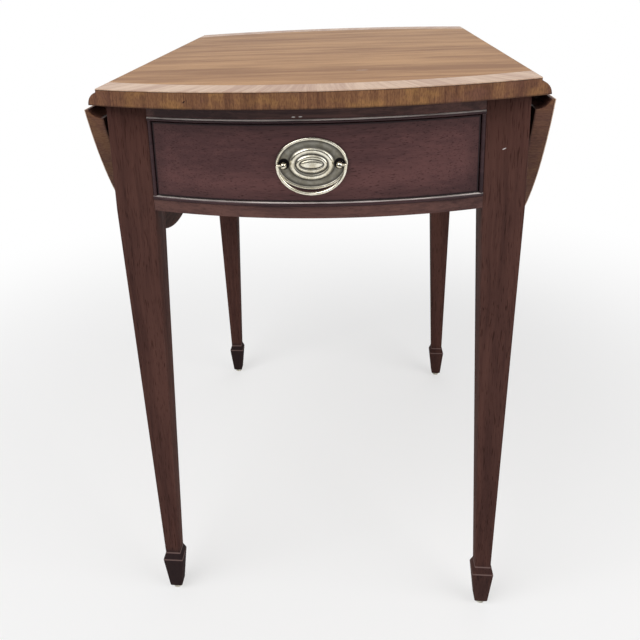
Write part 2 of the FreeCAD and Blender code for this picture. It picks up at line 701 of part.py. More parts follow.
def pull(name, turn, sign):
    """An oval plate, two posts with ball heads, their nuts and a hanging bail.

    Modelled lying flat: X across, Y up and Z out from the drawer's face.
    """
    places = {"x": "0", "y": f"{sign} * pull_y", "z": "pull_z", "turn": turn}
    layers = (
        ("pull_width", "pull_height", "pull_thick"),
        ("dome_width", "dome_height", "dome_rise"),
        ("boss_width", "boss_height", "boss_rise"),
    )
    ovals = []
    for number, (wide, high, rise) in enumerate(layers):
        ovals.append(oval(f"{name}_layer_{number}", f"{wide} / 2", f"{high} / 2", ("0", rise)))
    rim_outer = oval(name + "_rim_outer", "pull_width / 2", "pull_height / 2", ("0", "rim_height"))
    rim_inner = oval(name + "_rim_inner", "pull_width / 2 - rim_width", "pull_height / 2 - rim_width",
                     ("0", "rim_height"))
    rim = cut(name + "_rim", rim_outer, [rim_inner])

    posts = []
    nuts = []
    hooks = []
    for sign_x in SIDES.values():
        x = f"{sign_x} * post_x"
        foot = "nut_seat - nut_thick - thread_over"
        shank = rod(f"{name}_shank", "post_radius", f"bail_stand - ({foot})", x, "0", foot)
        head = ball(f"{name}_ball", "post_ball_radius", x, "0", "bail_stand")
        eye = rod(f"{name}_eye", "bail_pin_radius + running_clear", "2 * post_ball_radius + 2 * overrun",
                  f"{x} - post_ball_radius - overrun", "0", "bail_stand", ALONG_X)
        posts.append(cut(f"{name}_post", fuse(f"{name}_post_blank", [shank, head]), [eye]))
        nut = doc.addObject("Part::Prism", f"{name}_nut_blank")
        nut.Polygon = NUT_SIDES
        bind(nut, Circumradius="nut_radius", Height="nut_thick")
        place(nut, x, "0", "nut_seat - nut_thick")
        nuts.append(cut(f"{name}_nut", nut, [shank]))
        tip = f"{x} - ({sign_x}) * bail_pin_radius"
        bend = f"{sign_x} * bail_width / 2"
        start = tip if sign_x == "1" else bend
        hook_length = "(bail_width - post_spacing) / 2 + bail_pin_radius"
        hooks.append(rod(f"{name}_hook", "bail_pin_radius", hook_length, start, "0", "bail_stand", ALONG_X))
        hooks.append(ball(f"{name}_bend", "bail_radius", bend, "0", "bail_stand"))

    route = doc.addObject("Part::Ellipse", name + "_bail_route")
    bind(route, MajorRadius="bail_width / 2", MinorRadius="bail_drop")
    route.Angle1 = 180
    route.Angle2 = 360
    place(route, "0", "0", "bail_stand")
    wire = doc.addObject("Part::Circle", name + "_bail_wire")
    bind(wire, Radius="bail_radius")
    place(wire, "-bail_width / 2", "0", "bail_stand", FACING_FRONT)
    bow = doc.addObject("Part::Sweep", name + "_bail_bow")
    bow.Sections = [wire]
    bow.Spine = (route, ["Edge1"])
    bow.Solid = True
    bow.Frenet = True

    post_group = place(group(name + "_posts", posts), **places)
    plate = cut(name + "_plate", fuse(name + "_plate_blank", ovals + [rim]), posts)
    keep(name + "_plate", place(plate, **places))
    keep(name + "_posts", post_group)
    keep(name + "_nuts", place(group(name + "_nuts", nuts), **places))
    keep(name + "_bail", place(fuse(name + "_bail", [bow] + hooks), **places))
    return post_group


# The back's sham drawer front fills its bead frame, with the same pull.
back_posts = pull("back_pull", FACING_BACK, "-1")
sham = place(bowed_shell("sham_board", "opening_half", ("opening_low", "opening_high")), turn=HALF_TURN)
keep("back_sham_front", cut("back_sham_front", sham, [back_posts]))

# The drawer: sides lap-dovetailed into the bowed front, a bottom in grooves and a back
drawer_posts = pull("drawer_pull", FACING_FRONT, "1")
bottom_reach = "side_inner + groove_depth"
bottom_blank = box("bottom_blank", (f"-({bottom_reach})", bottom_reach), ("-bow_front", "drawer_rear"),
                   ("bottom_low", "bottom_high"))
bottom_curve = rod("bottom_curve", "drawer_inside + groove_depth", "drawer_bottom_thick",
                   "0", "bow_axis", "bottom_low")
bottom = keep("drawer_bottom", common("drawer_bottom", [bottom_blank, bottom_curve]))
drawer_sides = []
for side, sign in SIDES.items():
    x_span = span(sign, "side_inner", "drawer_half")
    board = box(f"{side}_drawer_board", x_span, ("tail_end", "drawer_rear"), ("drawer_low", "side_high"))
    pins = []
    for number in range(TAILS + 1):
        notch = doc.addObject("Part::Wedge", f"{side}_pin_{number}")
        level = f"drawer_low + {number} * (side_high - drawer_low) / {TAILS}"
        bind(notch, Xmin=x_span[0], X2min=x_span[0], Xmax=x_span[1], X2max=x_span[1],
             Ymin="tail_end", Ymax="tail_root",
             Zmin=f"{level} - pin_end_width / 2", Zmax=f"{level} + pin_end_width / 2",
             Z2min=f"{level} - pin_root_width / 2", Z2max=f"{level} + pin_root_width / 2")
        pins.append(notch)
    label = f"drawer_{side}_side"
    drawer_sides.append(keep(label, cut(label, board, pins + [bottom])))
keep("drawer_back", box("drawer_back", ("-side_inner", "side_inner"),
                        ("drawer_rear - drawer_back_thick", "drawer_rear"), ("bottom_high", "side_high")))
front_blank = bowed_shell("drawer_board", "drawer_half", ("drawer_low", "drawer_high"))
keep("drawer_front", cut("drawer_front", front_blank, drawer_sides + [bottom, drawer_posts]))

doc.recompute()

faults = [thing.Name for thing in doc.Objects if "Invalid" in thing.State or "Error" in thing.State]
for part in subparts:
    if part.Shape.isNull() or not part.Shape.isValid() or not part.Shape.Solids:
        faults.append(part.Label)
if faults:
    raise RuntimeError("These pieces failed: " + ", ".join(faults))

os.makedirs("parts", exist_ok=True)
for part in subparts:
    part.Shape.exportStep(f"parts/{part.Label}.step")
    print(part.Label, len(part.Shape.Solids), round(part.Shape.Volume))
print(len(subparts), "sub-parts")
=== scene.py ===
import math

import bpy
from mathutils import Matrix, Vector


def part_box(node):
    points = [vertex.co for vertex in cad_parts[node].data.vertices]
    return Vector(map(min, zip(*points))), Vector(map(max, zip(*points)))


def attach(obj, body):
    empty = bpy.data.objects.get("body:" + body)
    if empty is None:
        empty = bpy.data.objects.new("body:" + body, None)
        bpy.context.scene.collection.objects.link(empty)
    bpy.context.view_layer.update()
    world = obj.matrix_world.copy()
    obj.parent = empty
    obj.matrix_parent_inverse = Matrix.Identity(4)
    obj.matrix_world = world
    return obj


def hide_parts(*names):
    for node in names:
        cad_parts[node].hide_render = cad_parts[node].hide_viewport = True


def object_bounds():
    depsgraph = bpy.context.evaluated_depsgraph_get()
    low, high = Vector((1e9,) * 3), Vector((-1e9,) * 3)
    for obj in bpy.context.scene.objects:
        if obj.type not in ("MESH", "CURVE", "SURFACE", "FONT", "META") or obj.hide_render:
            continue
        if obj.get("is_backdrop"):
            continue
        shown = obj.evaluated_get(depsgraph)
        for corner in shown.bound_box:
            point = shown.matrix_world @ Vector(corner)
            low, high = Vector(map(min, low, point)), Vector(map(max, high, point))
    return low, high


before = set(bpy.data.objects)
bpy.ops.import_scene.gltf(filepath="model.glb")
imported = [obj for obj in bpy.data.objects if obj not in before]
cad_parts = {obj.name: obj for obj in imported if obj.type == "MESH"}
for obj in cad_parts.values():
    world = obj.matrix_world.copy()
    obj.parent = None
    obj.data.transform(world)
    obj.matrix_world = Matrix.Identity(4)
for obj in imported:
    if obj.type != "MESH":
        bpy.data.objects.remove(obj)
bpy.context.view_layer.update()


# Four legs of solid mahogany, each sawn and planed from one length of wood: square under
# the top, tapered on all four sides to the ankle, then a spade foot with a sloping
# shoulder. The rails are tenoned into them. The arrises are eased by hand.

MM = 0.001
LEGS = ("front_left_leg", "front_right_leg", "back_left_leg", "back_right_leg")
# Each station is the side of the square and its height, in millimetres, from the foot up.
LEG_STATIONS = ((16.5, 4), (27, 54), (20, 63.5), (46, 567), (46, 692))
FOOT_ROUND = 3.2 * MM
ARRIS_ROUND = 0.8 * MM


def deselect():
    """Select nothing, so that the next step starts clean."""
    bpy.ops.object.select_all(action="DESELECT")


def take_up(piece):
    """Select one piece alone and make it the active one."""
    deselect()
    piece.select_set(True)
    bpy.context.view_layer.objects.active = piece


def fresh_copy(piece, name):
    """A copy of a piece with a mesh of its own."""
    other = piece.copy()
    other.data = piece.data.copy()
    other.name = name
    bpy.context.collection.objects.link(other)
    return other


def pick(piece, test):
    """Select the vertices of the piece in edit mode whose place passes a test."""
    bpy.ops.mesh.select_mode(type="VERT")
    bpy.ops.mesh.select_all(action="DESELECT")
    bpy.ops.object.mode_set(mode="OBJECT")
    for vertex in piece.data.vertices:
        vertex.select = test(vertex.co)
    bpy.ops.object.mode_set(mode="EDIT")


def rise_to(centre, from_side, to_side, height):
    """Extrude the picked square up by a height and scale it to a new side."""
    bpy.ops.mesh.extrude_region_move(TRANSFORM_OT_translate={"value": (0, 0, height)})
    share = to_side / from_side
    bpy.ops.transform.resize(value=(share, share, 1), center_override=centre)


def soften(piece, width, segments, angle):
    """Round every arris sharper than an angle, and shade the flats flat."""
    rounding = piece.modifiers.new("rounding", "BEVEL")
    rounding.width = width
    rounding.segments = segments
    rounding.limit_method = "ANGLE"
    rounding.angle_limit = math.radians(angle)
    rounding.harden_normals = False
    bpy.ops.object.modifier_apply(modifier=rounding.name)
    bpy.ops.object.shade_smooth_by_angle(angle=math.radians(40))


deselect()
foot_side, foot_height = LEG_STATIONS[0]
bpy.ops.mesh.primitive_plane_add(size=foot_side * MM, location=(0, 0, foot_height * MM))
leg = bpy.context.object
bpy.ops.object.transform_apply(location=True)
bpy.ops.object.mode_set(mode="EDIT")
bpy.ops.mesh.select_all(action="SELECT")
for (side, low), (next_side, high) in zip(LEG_STATIONS, LEG_STATIONS[1:]):
    rise_to((0, 0, high * MM), side, next_side, (high - low) * MM)
bpy.ops.mesh.select_all(action="SELECT")
bpy.ops.mesh.normals_make_consistent(inside=False)
pick(leg, lambda place: place.z < (foot_height + 1) * MM)
bpy.ops.mesh.bevel(offset=FOOT_ROUND, segments=3, affect="EDGES")
bpy.ops.object.mode_set(mode="OBJECT")
soften(leg, ARRIS_ROUND, segments=2, angle=12)


def tone(red, green, blue):
    """A colour as it looks on a screen, from 0 to 255, as the shader counts it."""
    def linear(value):
        share = value / 255
        return share / 12.92 if share < 0.04045 else ((share + 0.055) / 1.055) ** 2.4
    return (linear(red), linear(green), linear(blue), 1.0)


def feed(tree, node, feeds):
    """Give a node's sockets their values or links."""
    for name, value in feeds.items():
        socket = node.inputs[name]
        if isinstance(value, bpy.types.NodeSocket):
            tree.links.new(value, socket)
        else:
            socket.default_value = value
    return node


def put(tree, kind, feeds=None, **settings):
    """Place a node, set it up and feed it."""
    node = tree.nodes.new("ShaderNode" + kind)
    for name, value in settings.items():
        setattr(node, name, value)
    return feed(tree, node, feeds or {})


def use_group(tree, group, feeds):
    """Place a node group and feed it."""
    node = tree.nodes.new("ShaderNodeGroup")
    node.node_tree = group
    return feed(tree, node, feeds)


def reckon(tree, operation, first, second=0.0):
    """One step of arithmetic on values or sockets."""
    return put(tree, "Math", {0: first, 1: second}, operation=operation).outputs[0]


def shared_out(tree, parts):
    """Several values added together, each by its share."""
    total = 0.0
    for value, share in parts:
        total = reckon(tree, "ADD", reckon(tree, "MULTIPLY", value, share), total)
    return total


def spread(tree, value, low, high, to_low=0.0, to_high=1.0):
    """Stretch the part of a value between low and high over another span."""
    feeds = {"Value": value, "From Min": low, "From Max": high, "To Min": to_low, "To Max": to_high}
    return put(tree, "MapRange", feeds, interpolation_type="SMOOTHSTEP").outputs["Result"]


def blend(tree, mask, first, second, blend_type="MIX"):
    """Two colours mixed by a mask."""
    feeds = {"Fac": mask, "Color1": first, "Color2": second}
    return put(tree, "MixRGB", feeds, blend_type=blend_type).outputs["Color"]


def axes(tree, vector):
    """A vector's X, Y and Z."""
    return put(tree, "SeparateXYZ", {0: vector}).outputs


def stretched(tree, vector, scales):
    """A vector scaled along each axis."""
    feeds = {0: vector, 1: scales}
    return put(tree, "VectorMath", feeds, operation="MULTIPLY").outputs[0]


def noise(tree, vector, scale, detail, rough=0.5):
    """Cloudy unevenness over a vector, as one value."""
    feeds = {"Vector": vector, "Scale": scale, "Detail": detail, "Roughness": rough}
    return put(tree, "TexNoise", feeds).outputs["Fac"]


def new_group(name, inputs, outputs):
    """An empty node group with its sockets, and its two end nodes."""
    group = bpy.data.node_groups.new(name, "ShaderNodeTree")
    for ways, way in ((inputs, "INPUT"), (outputs, "OUTPUT")):
        for socket, kind in ways.items():
            group.interface.new_socket(socket, in_out=way, socket_type="NodeSocket" + kind)
    return group, group.nodes.new("NodeGroupInput"), group.nodes.new("NodeGroupOutput")


PORE_SHADE = (0.42, 0.36, 0.34, 1)


def make_grain():
    """Wood with its grain along X: wandering bands, streaks and short open pores."""
    inputs = {"Vector": "Vector", "Dark": "Color", "Light": "Color", "Figure": "Float", "Pores": "Float"}
    outputs = {"Color": "Color", "Height": "Float", "Uneven": "Float"}
    group, start, end = new_group("timber_grain", inputs, outputs)
    place = start.outputs["Vector"]
    drift = put(group, "TexNoise", {"Vector": place, "Scale": 5.0, "Detail": 2.0}).outputs["Color"]
    middle = put(group, "VectorMath", {0: drift, 1: (0.5, 0.5, 0.5)}, operation="SUBTRACT").outputs[0]
    sway = stretched(group, middle, (0.0, 0.016, 0.016))
    line = put(group, "VectorMath", {0: place, 1: sway}, operation="ADD").outputs[0]
    bands = noise(group, stretched(group, line, (2.4, 30.0, 30.0)), 1.0, 2.0)
    streaks = noise(group, stretched(group, line, (9.0, 240.0, 240.0)), 1.0, 4.0, 0.62)
    clouds = noise(group, stretched(group, line, (6.0, 11.0, 11.0)), 1.0, 2.0)
    pore_noise = noise(group, stretched(group, line, (55.0, 1150.0, 1150.0)), 1.0, 1.0)
    pores = spread(group, pore_noise, 0.58, 0.72)
    figure = shared_out(group, ((bands, 0.42), (streaks, 0.36), (clouds, 0.22)))
    off_middle = reckon(group, "SUBTRACT", spread(group, figure, 0.38, 0.62), 0.5)
    strong = reckon(group, "MULTIPLY", off_middle, start.outputs["Figure"])
    share = reckon(group, "ADD", strong, 0.5)
    colour = blend(group, share, start.outputs["Dark"], start.outputs["Light"])
    dimmed = blend(group, 1.0, colour, PORE_SHADE, "MULTIPLY")
    in_pore = reckon(group, "MULTIPLY", pores, start.outputs["Pores"])
    feed(group, end, {
        "Color": blend(group, in_pore, colour, dimmed),
        "Height": reckon(group, "SUBTRACT", reckon(group, "MULTIPLY", streaks, 0.5), pores),
        "Uneven": shared_out(group, ((clouds, 0.6), (streaks, 0.4))),
    })
    return group


def make_arris():
    """Eased edges: a rounded normal, and a broken mask where hands have rubbed the edge."""
    outputs = {"Normal": "Vector", "Rubbed": "Float"}
    group, start, end = new_group("eased_arris", {"Radius": "Float"}, outputs)
    rounded = put(group, "Bevel", {"Radius": start.outputs["Radius"]}, samples=6).outputs[0]
    straight = put(group, "NewGeometry").outputs["Normal"]
    facing = put(group, "VectorMath", {0: rounded, 1: straight}, operation="DOT_PRODUCT").outputs["Value"]
    edge = spread(group, facing, 0.99, 0.86)
    place = put(group, "TexCoord").outputs["Object"]
    broken = spread(group, noise(group, place, 55.0, 4.0), 0.40, 0.62)
    feed(group, end, {"Normal": rounded, "Rubbed": reckon(group, "MULTIPLY", edge, broken)})
    return group


GRAIN = make_grain()
ARRIS = make_arris()
GRAIN_DEPTH = 0.3 * MM
UPRIGHT_GRAIN = (0, 90, 0)
STAIN_EDGE = (0.074, 0.060)
# Painted highlight lines along the shoulders of the spade feet: their half width and softening.
SHOULDER_HIGHLIGHT = (1.3 * MM, 0.5 * MM)
NICK_SPOT = (0.2065, -0.320, 0.634)
NICK_REACH = (2.6 * MM, 6 * MM, 0.7 * MM)
NICK_LEAN = -24


def new_finish(name):
    """A material with its tree, its one shader and the piece's own coordinates."""
    finish = bpy.data.materials.new(name)
    finish.use_nodes = True
    tree = finish.node_tree
    return finish, tree, tree.nodes["Principled BSDF"], put(tree, "TexCoord").outputs["Object"]


def turned(tree, place, turn, shift=(0, 0, 0)):
    """Coordinates turned by degrees so that the grain runs along X."""
    angles = tuple(math.radians(angle) for angle in turn)
    feeds = {"Vector": place, "Rotation": angles, "Location": shift}
    return put(tree, "Mapping", feeds).outputs["Vector"]


def grained(tree, vector, dark, light, figure, pores):
    """The wood's grain over a vector, between a dark and a light tone."""
    feeds = {"Vector": vector, "Dark": dark, "Light": light, "Figure": figure, "Pores": pores}
    return use_group(tree, GRAIN, feeds)


def eased(tree, radius):
    """The eased edges of a piece."""
    return use_group(tree, ARRIS, {"Radius": radius})


def knock(tree, place, spot, reach, lean=0.0):
    """A mask over one small dent or chip, an oval of a given reach around a spot."""
    feeds = {"Vector": place, "Location": spot, "Rotation": (0, math.radians(lean), 0), "Scale": reach}
    near = put(tree, "Mapping", feeds, vector_type="TEXTURE").outputs["Vector"]
    away = put(tree, "VectorMath", {0: near}, operation="LENGTH").outputs["Value"]
    return spread(tree, away, 1.0, 0.6)


def polish(tree, shader, colour, grain, smooth, dull, coat, coat_rough, bump, arris=None):
    """Join colour, sheen and grain relief to the shader of a wood whose gloss is its polish."""
    relief = {"Height": grain.outputs["Height"], "Strength": bump, "Distance": GRAIN_DEPTH}
    if arris is not None:
        relief["Normal"] = arris.outputs["Normal"]
    feed(tree, shader, {
        "Base Color": colour,
        "Roughness": spread(tree, grain.outputs["Uneven"], 0.35, 0.65, smooth, dull),
        "Specular IOR Level": 0.0,
        "Coat Weight": coat,
        "Coat Roughness": coat_rough,
        "Normal": put(tree, "Bump", relief).outputs["Normal"],
    })


def leg_finish():
    """Dark polished mahogany with stained spade feet, blacker on the left than on the right, rubbed edges,
    and painted highlights along the shoulders of the feet.
    """
    finish, tree, shader, place = new_finish("leg_polish")
    upright = turned(tree, place, UPRIGHT_GRAIN)
    grain = grained(tree, upright, tone(59, 38, 35), tone(91, 61, 54), figure=0.65, pores=0.9)
    arris = eased(tree, radius=1.0 * MM)
    across, _, height = axes(tree, place)
    stain_share = spread(tree, across, -0.1, 0.1, 0.85, 0.3)
    foot = reckon(tree, "MULTIPLY", spread(tree, height, *STAIN_EDGE), stain_share)
    stained = blend(tree, foot, grain.outputs["Color"], tone(38, 31, 33))
    wear_and_highlight = reckon(tree, "MULTIPLY", arris.outputs["Rubbed"], 0.6)
    # Painted highlights: light lines along the upper and lower shoulders of each spade foot, added to the
    # rubbed edges.
    for _, shoulder in LEG_STATIONS[1:3]:
        off_line = reckon(tree, "ABSOLUTE", reckon(tree, "SUBTRACT", height, shoulder * MM))
        wear_and_highlight = reckon(tree, "MAXIMUM", wear_and_highlight, spread(tree, off_line, *SHOULDER_HIGHLIGHT, 0.0, 0.75))
    colour = blend(tree, wear_and_highlight, stained, tone(122, 100, 96))
    nick = knock(tree, place, NICK_SPOT, NICK_REACH, NICK_LEAN)
    colour = blend(tree, nick, colour, tone(206, 198, 196))
    polish(tree, shader, colour, grain, smooth=0.4, dull=0.55, coat=0.1,
           coat_rough=0.25, bump=0.12, arris=arris)
    return finish


leg.data.materials.append(leg_finish())
for node in LEGS:
    low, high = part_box(node)
    middle = (low + high) / 2
    piece = fresh_copy(leg, "planed_" + node)
    take_up(piece)
    bpy.ops.transform.translate(value=(middle.x, middle.y, 0))
    bpy.ops.object.transform_apply(location=True)
    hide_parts(node)
    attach(piece, "table")
take_up(leg)
bpy.ops.object.delete()


# Bowed rails above and below the drawer, and the same at the back. They are of solid
# mahogany cut to the bow, tenoned into the legs and polished with them.

GRAIN_ALONG_X = (0, 0, 0)
CHIPS = ((-0.018, -0.353, 0.680), (-0.0105, -0.353, 0.6802))
CHIP_REACH = (2.4 * MM, 5 * MM, 0.6 * MM)


def dress(nodes, finish):
    """Give pieces of the frame a finish in place of their plain one."""
    for node in nodes:
        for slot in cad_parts[node].material_slots:
            slot.material = finish


def rub(tree, arris, share, colour, bare):
    """Show a barer tone where the edges are rubbed."""
    return blend(tree, reckon(tree, "MULTIPLY", arris.outputs["Rubbed"], share), colour, bare)


def timber(name, turn, dark, light, rubbed, figure=1.0, pores=0.5, smooth=0.28, dull=0.42,
           coat=0.3, bump=0.12, chips=()):
    """A wood finish with its grain turned along the piece and its edges a little rubbed."""
    finish, tree, shader, place = new_finish(name)
    grain = grained(tree, turned(tree, place, turn), dark, light, figure, pores)
    arris = eased(tree, ARRIS_ROUND)
    colour = rub(tree, arris, 0.55, grain.outputs["Color"], rubbed)
    for spot in chips:
        colour = blend(tree, knock(tree, place, spot, CHIP_REACH), colour, tone(226, 220, 214))
    polish(tree, shader, colour, grain, smooth, dull, coat, coat_rough=0.2, bump=bump, arris=arris)
    return finish


rail_polish = timber("rail_polish", GRAIN_ALONG_X, tone(56, 37, 37), tone(98, 68, 62),
                     tone(120, 86, 76), chips=CHIPS)
dress(("front_top_rail", "front_bottom_rail", "back_top_rail", "back_bottom_rail"), rail_polish)


# Cock beads round the drawer opening: thin half-round strips let in proud of the face and
# glued. Their upward-facing rounds carry a painted highlight, broken in patches.

UPPER_BEAD_HIGHLIGHT = (0.655, 0.665)


def bead_finish():
    """Mahogany strips with a painted highlight on their upward-facing rounds, broken in patches, most on the
    upper strip.
    """
    finish, tree, shader, place = new_finish("bead_polish")
    grain = grained(tree, place, tone(42, 28, 32), tone(70, 48, 50), figure=0.8, pores=0.3)
    # Painted highlight: the colour goes light where the round faces up, and more so on the upper strip.
    _, _, upward = axes(tree, put(tree, "NewGeometry").outputs["Normal"])
    _, _, height = axes(tree, place)
    wear_and_highlight = reckon(tree, "ADD", upward, spread(tree, height, *UPPER_BEAD_HIGHLIGHT, 0.0, 0.35))
    patches = spread(tree, noise(tree, place, 14.0, 3.0), 0.38, 0.6, 0.45, 1.0)
    painted_highlight = reckon(tree, "MULTIPLY", spread(tree, wear_and_highlight, 0.7, 0.95), patches)
    colour = blend(tree, painted_highlight, grain.outputs["Color"], tone(232, 222, 216))
    polish(tree, shader, colour, grain, smooth=0.3, dull=0.42, coat=0.35,
           coat_rough=0.16, bump=0.06)
    return finish


dress(("front_beads", "back_beads"), bead_finish())


# The bowed drawer front, and the fixed sham front at the back that matches it. Each is
# faced with plain mahogany, its grain running level, and polished.

front_low, front_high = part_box("drawer_front")
PULL_HEIGHT = (front_low.z + front_high.z) / 2
FRONT_HALF_WIDTH = front_high.x
FRONT_HALF_HEIGHT = (front_high.z - front_low.z) / 2
# The dark halo round and below the pull: old wax and dirt, with a painted shadow under the plate and bail.
PULL_SHADOW_AND_GRIME_MIDDLE = (0, 0, PULL_HEIGHT - 4 * MM)
PULL_SHADOW_AND_GRIME_REACH = (0.050, 0.8, 0.043)


def drawer_finish():
    """Polished mahogany, with painted shade along its edges inside the beads, and old wax with a painted
    shadow round and below the pull.
    """
    finish, tree, shader, place = new_finish("drawer_polish")
    grain = grained(tree, place, tone(64, 41, 43), tone(103, 68, 66), figure=0.55, pores=0.95)
    arris = eased(tree, ARRIS_ROUND)
    across, along, height = axes(tree, place)
    aside = reckon(tree, "ABSOLUTE", across)
    above = reckon(tree, "ABSOLUTE", reckon(tree, "SUBTRACT", height, PULL_HEIGHT))
    # Painted shade: the front darkens towards its edges, as if in shadow inside the beads, in a narrow dark
    # line and a wider soft fade.
    from_border = reckon(tree, "MINIMUM", reckon(tree, "SUBTRACT", FRONT_HALF_WIDTH, aside),
                         reckon(tree, "SUBTRACT", FRONT_HALF_HEIGHT, above))
    painted_border_shade = reckon(tree, "MAXIMUM", spread(tree, from_border, 3.0 * MM, 0.8 * MM, 0.0, 0.85),
                    spread(tree, from_border, 20 * MM, 2 * MM, 0.0, 0.3))
    # Round and below the pull: old wax and dirt, together with a painted shadow of the plate and bail.
    pull_shadow_and_grime = knock(tree, place, PULL_SHADOW_AND_GRIME_MIDDLE, PULL_SHADOW_AND_GRIME_REACH)
    _, facing, _ = axes(tree, put(tree, "NewGeometry").outputs["Normal"])
    outer_face = spread(tree, reckon(tree, "MULTIPLY", along, facing), 0.0, 0.1)
    painted_shade_and_grime = reckon(tree, "MULTIPLY", reckon(tree, "MAXIMUM", painted_border_shade, pull_shadow_and_grime), outer_face)
    colour = rub(tree, arris, 0.3, grain.outputs["Color"], tone(124, 92, 84))
    colour = blend(tree, painted_shade_and_grime, colour, tone(22, 15, 19))
    polish(tree, shader, colour, grain, smooth=0.4, dull=0.55, coat=0.3,
           coat_rough=0.2, bump=0.12, arris=arris)
    return finish


dress(("drawer_front", "back_sham_front"), drawer_finish())


# The drawer's box: thin sides dovetailed to the front, a back and a bottom in grooves.
# These are of pale secondary wood, planed and left without polish.

GRAIN_ALONG_Y = (0, 0, -90)


def raw(name, turn):
    """Planed wood with no polish."""
    return timber(name, turn, tone(150, 114, 76), tone(196, 160, 116), tone(204, 176, 138),
                  figure=0.7, pores=0.3, smooth=0.62, dull=0.78, coat=0.0, bump=0.25)


raw_along_y = raw("raw_wood_along_y", GRAIN_ALONG_Y)
raw_along_x = raw("raw_wood_along_x", GRAIN_ALONG_X)
dress(("drawer_left_side", "drawer_right_side"), raw_along_y)
dress(("drawer_back", "drawer_bottom"), raw_along_x)


# The carcase behind: inner side rails tenoned into the legs, runners and guides that carry
# the drawer, kickers over it and two stops. Secondary wood, planed only.

dress(("left_side_rail", "right_side_rail", "left_runner", "right_runner", "left_kicker",
       "right_kicker", "drawer_stops"), raw_along_y)


# Fly brackets under each leaf: a fixed block between two brackets on wooden knuckles, each
# with a finger notch below. Beech stained to go with the mahogany.

fly_stain = timber("fly_stain", GRAIN_ALONG_Y, tone(84, 56, 42), tone(122, 86, 62),
                   tone(148, 112, 84), figure=0.8, pores=0.4, smooth=0.5, dull=0.62,
                   coat=0.0, bump=0.2)
dress(("left_fly_front", "left_fly_back", "left_fly_block", "right_fly_front", "right_fly_back",
       "right_fly_block"), fly_stain)


# The oval top in three boards: a fixed middle and two leaves. Each is a mahogany board,
# moulded at the rule joint, with a face veneer whose grain runs across the table. A hanging
# leaf's grain is laid out as if the leaf were raised, so that it runs on from the top's.

top_low, top_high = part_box("fixed_top")
TOP_UNDER = top_low.z
TOP_FACE = top_high.z
VENEER_LINE = TOP_FACE - 1.4 * MM
# The pins lie level with the top's underside, over the hanging leaves' inner faces.
PIN_ASIDE = -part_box("left_leaf_panel")[1].x
RAISED = {
    "top": ((0, 0, 0), (0, 0, 0)),
    "left_leaf": ((0, 90, 0), (-PIN_ASIDE - TOP_UNDER, 0, TOP_UNDER - PIN_ASIDE)),
    "right_leaf": ((0, -90, 0), (PIN_ASIDE + TOP_UNDER, 0, TOP_UNDER - PIN_ASIDE)),
}
MOULDING_LIFT = (2.3, 1.9, 1.55, 1)
MARK_SPOT = (0.055, -0.232, TOP_FACE)
MARK_REACH = (9 * MM, 1.2 * MM, 1 * MM)


def board_finish(part):
    """Glossy veneer on the face, plainer mahogany on the moulded edges and beneath."""
    finish, tree, shader, place = new_finish(part + "_veneer")
    raised = turned(tree, place, *RAISED[part])
    lengthwise = turned(tree, raised, GRAIN_ALONG_Y)
    face = grained(tree, raised, tone(148, 106, 72), tone(191, 147, 104), figure=1.0, pores=0.35)
    core_grain = grained(tree, lengthwise, tone(50, 37, 37), tone(80, 58, 52), figure=0.9, pores=0.5)
    core = core_grain.outputs["Color"]
    arris = eased(tree, radius=0.6 * MM)
    _, _, height = axes(tree, raised)
    on_face = spread(tree, height, VENEER_LINE - 0.1 * MM, VENEER_LINE + 0.1 * MM)
    above_under = spread(tree, height, TOP_UNDER + 0.2 * MM, TOP_UNDER + 0.6 * MM)
    gloss = reckon(tree, "ADD", reckon(tree, "MULTIPLY", above_under, 0.12), 0.06)
    moulded = blend(tree, 1.0, core, MOULDING_LIFT, "MULTIPLY")
    beneath = blend(tree, above_under, core, moulded)
    colour = blend(tree, on_face, beneath, face.outputs["Color"])
    colour = rub(tree, arris, 0.35, colour, tone(150, 104, 70))
    mark = reckon(tree, "MULTIPLY", knock(tree, raised, MARK_SPOT, MARK_REACH), 0.5)
    colour = blend(tree, mark, colour, tone(232, 222, 216))
    polish(tree, shader, colour, face, smooth=0.4, dull=0.55, coat=gloss,
           coat_rough=0.1, bump=0.05, arris=arris)
    return finish


dress(("fixed_top",), board_finish("top"))
dress(("left_leaf_panel",), board_finish("left_leaf"))
dress(("right_leaf_panel",), board_finish("right_leaf"))


# The crossband: a border of pale veneer round the whole oval, laid with its grain pointing
# at the edge in short butted lengths, and glued flush with the face.

LEAF_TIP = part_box("left_leaf_edge_band")[0].z
HALF_WIDTH = PIN_ASIDE + TOP_UNDER - LEAF_TIP
HALF_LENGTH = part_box("top_edge_bands")[1].y


def round_oval(tree, across, along):
    """The distance round the oval's edge."""
    angle = reckon(tree, "ARCTAN2", reckon(tree, "DIVIDE", along, HALF_LENGTH),
                   reckon(tree, "DIVIDE", across, HALF_WIDTH))
    return reckon(tree, "MULTIPLY", angle, (HALF_WIDTH + HALF_LENGTH) / 2)


def from_axis(tree, place):
    """How far a place lies from the upright line through the table's middle."""
    flat = stretched(tree, place, (1, 1, 0))
    return put(tree, "VectorMath", {0: flat}, operation="LENGTH").outputs["Value"]


